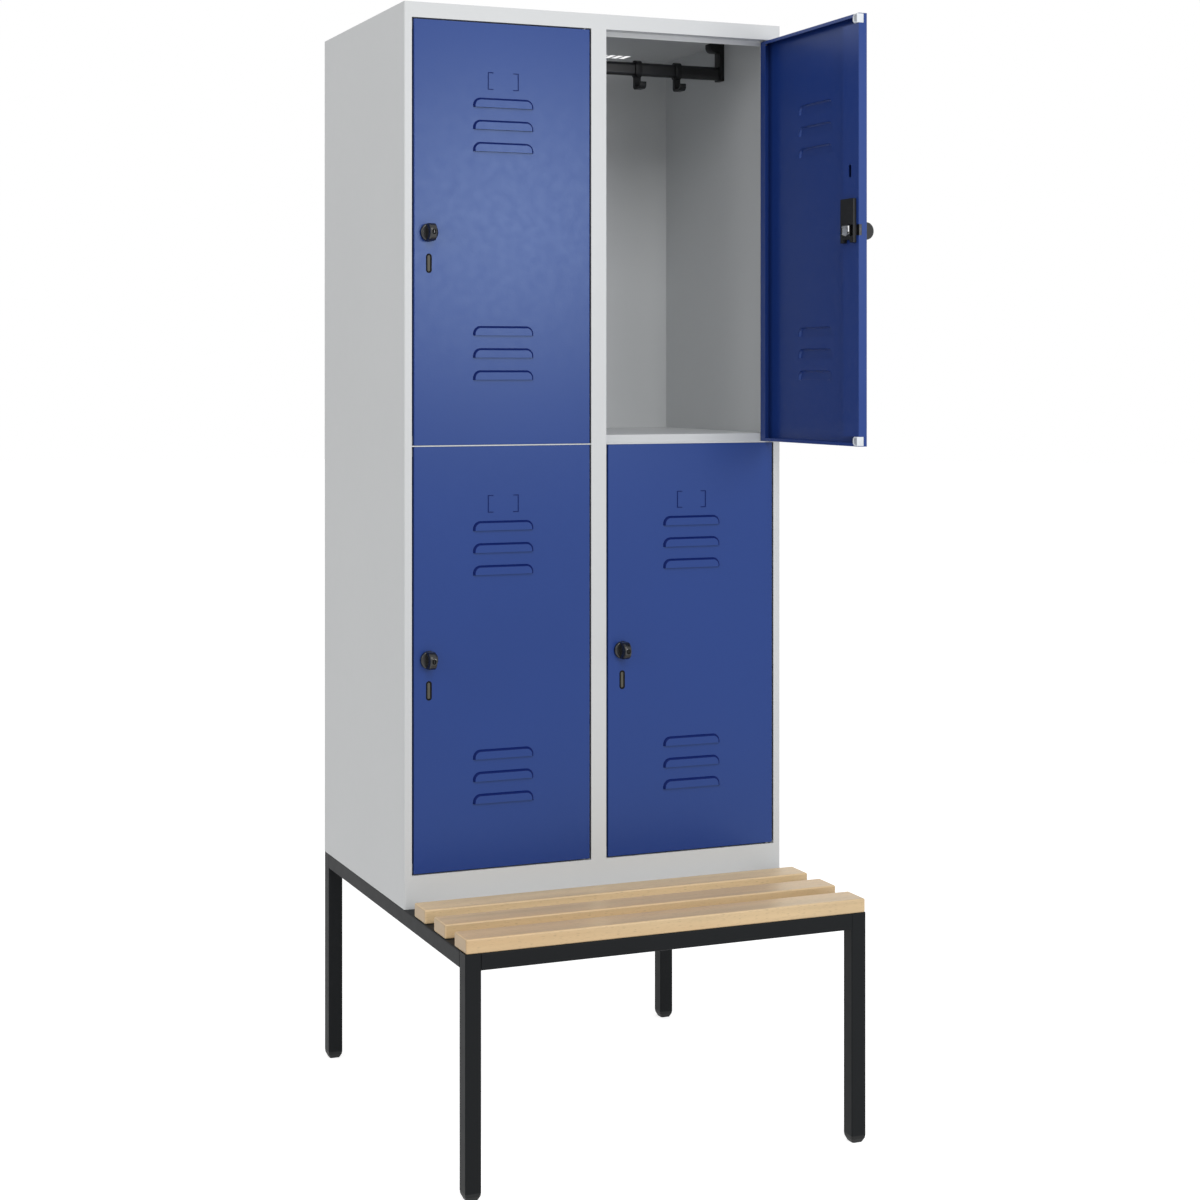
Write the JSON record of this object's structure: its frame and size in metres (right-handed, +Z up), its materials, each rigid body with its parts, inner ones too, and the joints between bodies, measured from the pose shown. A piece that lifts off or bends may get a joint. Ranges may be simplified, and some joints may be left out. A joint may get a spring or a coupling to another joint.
{
  "type": "school locker",
  "caption": "Two-column, two-tier steel cloakroom locker with hinged doors on a tube stand with a slatted bench seat in front.",
  "frame": {"origin": "on the floor, under the middle of the bounding box with the upper right door open", "axes": "+X to the right seen from the front, +Y from the doors to the rear wall, +Z up"},
  "size_m": [0.8148, 0.8436, 2.128],
  "materials": {
    "carcass_grey": "light grey powder coat, satin",
    "door_blue": "gentian blue powder coat, satin",
    "frame_anthracite": "anthracite powder coat, fine texture",
    "glide_black": "moulded polyethylene",
    "beech": "clear-lacquered beech",
    "zinc_steel": "zinc plated",
    "rail_black": "black lacquer",
    "hook_black": "moulded nylon",
    "lock_black": "moulded, fine grain",
    "knob_black": "moulded, satin gloss",
    "buffer_white": "moulded polypropylene"
  },
  "bodies": {
    "root": {"leg_front_left": "frame_anthracite", "leg_front_right": "frame_anthracite", "leg_rear_left": "frame_anthracite", "leg_rear_right": "frame_anthracite", "side_rails": "frame_anthracite", "front_rail": "frame_anthracite", "rear_rail": "frame_anthracite", "cross_rail": "frame_anthracite", "foot_glides": "glide_black", "slat_front": "beech", "slat_middle": "beech", "slat_rear": "beech", "slat_screws": "zinc_steel", "carcass_bolts": "zinc_steel", "hinge_pins": "zinc_steel", "side_left": "carcass_grey", "side_right": "carcass_grey", "partition": "carcass_grey", "top_panel": "carcass_grey", "bottom_panel": "carcass_grey", "shelves": "carcass_grey", "rear_panel": "carcass_grey", "hanging_rails": "rail_black", "rail_brackets": "hook_black"},
    "door_lower_left": {"door_lower_left": "door_blue", "door_lower_left_stiffener": "door_blue", "door_lower_left_lock_case": "lock_black", "door_lower_left_buffers": "buffer_white"},
    "door_lower_left_knob": {"door_lower_left_knob": "knob_black"},
    "door_lower_left_bolt": {"door_lower_left_bolt": "zinc_steel"},
    "hook_lower_left_1": {"hook_lower_left_1": "hook_black"},
    "hook_lower_left_2": {"hook_lower_left_2": "hook_black"},
    "hook_lower_left_3": {"hook_lower_left_3": "hook_black"},
    "door_lower_right": {"door_lower_right": "door_blue", "door_lower_right_stiffener": "door_blue", "door_lower_right_lock_case": "lock_black", "door_lower_right_buffers": "buffer_white"},
    "door_lower_right_knob": {"door_lower_right_knob": "knob_black"},
    "door_lower_right_bolt": {"door_lower_right_bolt": "zinc_steel"},
    "hook_lower_right_1": {"hook_lower_right_1": "hook_black"},
    "hook_lower_right_2": {"hook_lower_right_2": "hook_black"},
    "hook_lower_right_3": {"hook_lower_right_3": "hook_black"},
    "door_upper_left": {"door_upper_left": "door_blue", "door_upper_left_stiffener": "door_blue", "door_upper_left_lock_case": "lock_black", "door_upper_left_buffers": "buffer_white"},
    "door_upper_left_knob": {"door_upper_left_knob": "knob_black"},
    "door_upper_left_bolt": {"door_upper_left_bolt": "zinc_steel"},
    "hook_upper_left_1": {"hook_upper_left_1": "hook_black"},
    "hook_upper_left_2": {"hook_upper_left_2": "hook_black"},
    "hook_upper_left_3": {"hook_upper_left_3": "hook_black"},
    "door_upper_right": {"door_upper_right": "door_blue", "door_upper_right_stiffener": "door_blue", "door_upper_right_lock_case": "lock_black", "door_upper_right_buffers": "buffer_white"},
    "door_upper_right_knob": {"door_upper_right_knob": "knob_black"},
    "door_upper_right_bolt": {"door_upper_right_bolt": "zinc_steel"},
    "hook_upper_right_1": {"hook_upper_right_1": "hook_black"},
    "hook_upper_right_2": {"hook_upper_right_2": "hook_black"},
    "hook_upper_right_3": {"hook_upper_right_3": "hook_black"}
  },
  "joints": [
    {"name": "door_lower_left_hinge", "type": "hinge", "parent": "root", "child": "door_lower_left", "pos_m": [-0.0344, -0.06775, 0.493], "axis": [0, 0, 1], "range_deg": [0, 90]},
    {"name": "door_lower_left_knob_turn", "type": "hinge", "parent": "door_lower_left", "child": "door_lower_left_knob", "pos_m": [-0.3584, -0.07825, 0.893], "axis": [0, 1, 0], "range_deg": [0, 90]},
    {"name": "door_lower_left_bolt_slide", "type": "slide", "parent": "door_lower_left", "child": "door_lower_left_bolt", "axis": [-1, 0, 0], "range_m": [0, 0.01]},
    {"name": "hook_lower_left_1_slide", "type": "slide", "parent": "root", "child": "hook_lower_left_1", "axis": [1, 0, 0], "range_m": [-0.089, 0.038]},
    {"name": "hook_lower_left_2_slide", "type": "slide", "parent": "root", "child": "hook_lower_left_2", "axis": [1, 0, 0], "range_m": [-0.038, 0.038]},
    {"name": "hook_lower_left_3_slide", "type": "slide", "parent": "root", "child": "hook_lower_left_3", "axis": [1, 0, 0], "range_m": [-0.038, 0.0905]},
    {"name": "door_lower_right_hinge", "type": "hinge", "parent": "root", "child": "door_lower_right", "pos_m": [0.3666, -0.06775, 0.493], "axis": [0, 0, 1], "range_deg": [0, 90]},
    {"name": "door_lower_right_knob_turn", "type": "hinge", "parent": "door_lower_right", "child": "door_lower_right_knob", "pos_m": [0.0426, -0.07825, 0.893], "axis": [0, 1, 0], "range_deg": [0, 90]},
    {"name": "door_lower_right_bolt_slide", "type": "slide", "parent": "door_lower_right", "child": "door_lower_right_bolt", "axis": [-1, 0, 0], "range_m": [0, 0.01]},
    {"name": "hook_lower_right_1_slide", "type": "slide", "parent": "root", "child": "hook_lower_right_1", "axis": [1, 0, 0], "range_m": [-0.0905, 0.038]},
    {"name": "hook_lower_right_2_slide", "type": "slide", "parent": "root", "child": "hook_lower_right_2", "axis": [1, 0, 0], "range_m": [-0.038, 0.038]},
    {"name": "hook_lower_right_3_slide", "type": "slide", "parent": "root", "child": "hook_lower_right_3", "axis": [1, 0, 0], "range_m": [-0.038, 0.089]},
    {"name": "door_upper_left_hinge", "type": "hinge", "parent": "root", "child": "door_upper_left", "pos_m": [-0.0344, -0.06775, 1.296], "axis": [0, 0, 1], "range_deg": [0, 90]},
    {"name": "door_upper_left_knob_turn", "type": "hinge", "parent": "door_upper_left", "child": "door_upper_left_knob", "pos_m": [-0.3584, -0.07825, 1.696], "axis": [0, 1, 0], "range_deg": [0, 90]},
    {"name": "door_upper_left_bolt_slide", "type": "slide", "parent": "door_upper_left", "child": "door_upper_left_bolt", "axis": [-1, 0, 0], "range_m": [0, 0.01]},
    {"name": "hook_upper_left_1_slide", "type": "slide", "parent": "root", "child": "hook_upper_left_1", "axis": [1, 0, 0], "range_m": [-0.089, 0.038]},
    {"name": "hook_upper_left_2_slide", "type": "slide", "parent": "root", "child": "hook_upper_left_2", "axis": [1, 0, 0], "range_m": [-0.038, 0.038]},
    {"name": "hook_upper_left_3_slide", "type": "slide", "parent": "root", "child": "hook_upper_left_3", "axis": [1, 0, 0], "range_m": [-0.038, 0.0905]},
    {"name": "door_upper_right_hinge", "type": "hinge", "parent": "root", "child": "door_upper_right", "pos_m": [0.3666, -0.06775, 1.296], "axis": [0, 0, 1], "range_deg": [-90, 0]},
    {"name": "door_upper_right_knob_turn", "type": "hinge", "parent": "door_upper_right", "child": "door_upper_right_knob", "pos_m": [0.3771, -0.39175, 1.696], "axis": [-1, 0, 0], "range_deg": [0, 90]},
    {"name": "door_upper_right_bolt_slide", "type": "slide", "parent": "door_upper_right", "child": "door_upper_right_bolt", "axis": [0, -1, 0], "range_m": [0, 0.01]},
    {"name": "hook_upper_right_1_slide", "type": "slide", "parent": "root", "child": "hook_upper_right_1", "axis": [1, 0, 0], "range_m": [-0.0905, 0.038]},
    {"name": "hook_upper_right_2_slide", "type": "slide", "parent": "root", "child": "hook_upper_right_2", "axis": [1, 0, 0], "range_m": [-0.038, 0.038]},
    {"name": "hook_upper_right_3_slide", "type": "slide", "parent": "root", "child": "hook_upper_right_3", "axis": [1, 0, 0], "range_m": [-0.038, 0.089]}
  ],
  "couplings": [
    {"joint": "door_lower_left_knob_turn", "follows": "door_lower_left_bolt_slide", "rad_per_m": 157.06},
    {"joint": "door_lower_right_knob_turn", "follows": "door_lower_right_bolt_slide", "rad_per_m": 157.06},
    {"joint": "door_upper_left_knob_turn", "follows": "door_upper_left_bolt_slide", "rad_per_m": 157.06},
    {"joint": "door_upper_right_knob_turn", "follows": "door_upper_right_bolt_slide", "rad_per_m": 157.06}
  ]
}
